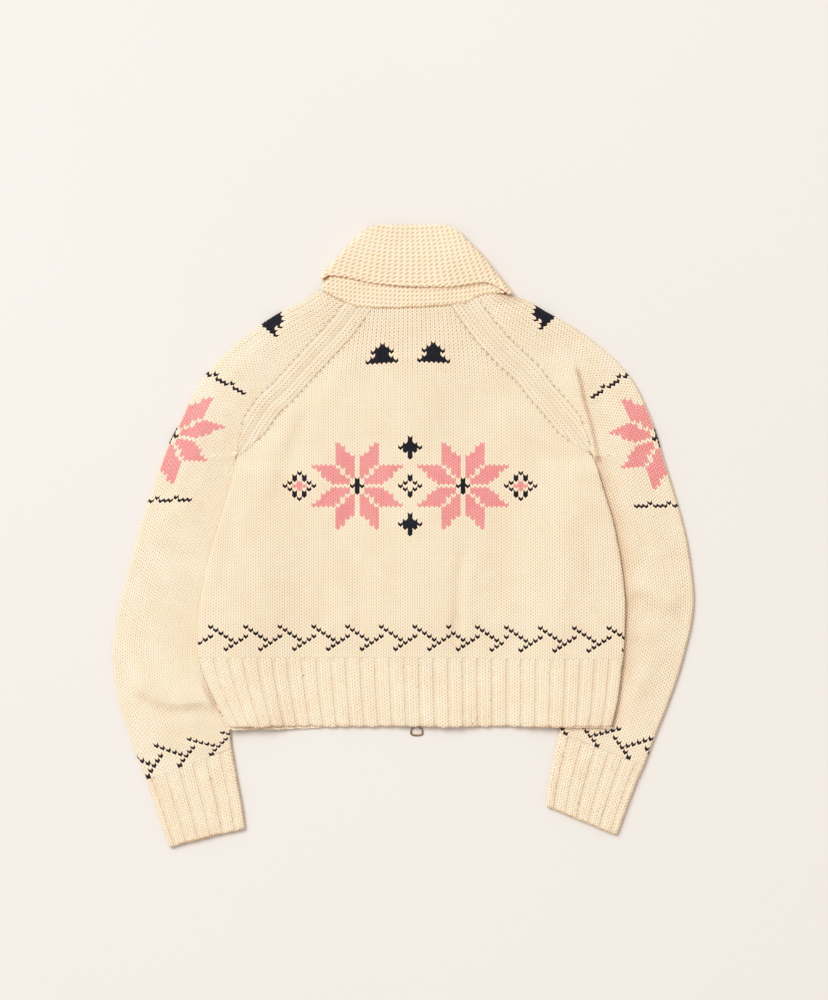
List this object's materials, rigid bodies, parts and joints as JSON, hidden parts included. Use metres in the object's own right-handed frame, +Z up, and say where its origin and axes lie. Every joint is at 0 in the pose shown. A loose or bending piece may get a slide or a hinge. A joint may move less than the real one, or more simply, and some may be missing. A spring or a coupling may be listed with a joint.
{
  "type": "cowichan cardigan",
  "caption": "Heavy knitted raglan cardigan with shawl collar, ribbed hem and cuffs and a front zip, lying flat on its front with the back up.",
  "frame": {"origin": "middle of the garment's outline, on the surface that it lies on", "axes": "+X to the wearer's right, +Y from the hem to the collar, +Z up, out of the back"},
  "size_m": [0.738, 0.791, 0.0144],
  "materials": {
    "cream_wool": "thick soft wool knit, matt, slightly hairy",
    "zip_tape": "fine woven cotton tape",
    "antique_brass": "dark antique brass, worn bright on the edges"
  },
  "bodies": {
    "garment": {"back": "cream_wool", "front_left": "cream_wool", "front_right": "cream_wool", "sleeve_left": "cream_wool", "sleeve_right": "cream_wool", "cuff_left": "cream_wool", "cuff_right": "cream_wool", "hem_rib_back": "cream_wool", "hem_rib_front_left": "cream_wool", "hem_rib_front_right": "cream_wool", "collar": "cream_wool", "zip_tape_left": "zip_tape", "zip_tape_right": "zip_tape", "zip_chain_left": "antique_brass", "zip_chain_right": "antique_brass", "zip_slider": "antique_brass"},
    "pull": {"zip_pull": "antique_brass"}
  },
  "joints": [
    {"name": "pull_flap", "type": "hinge", "parent": "garment", "child": "pull", "pos_m": [0.017, -0.2425, 0.0016], "axis": [1, 0, 0], "range_deg": [-45, 120]}
  ]
}
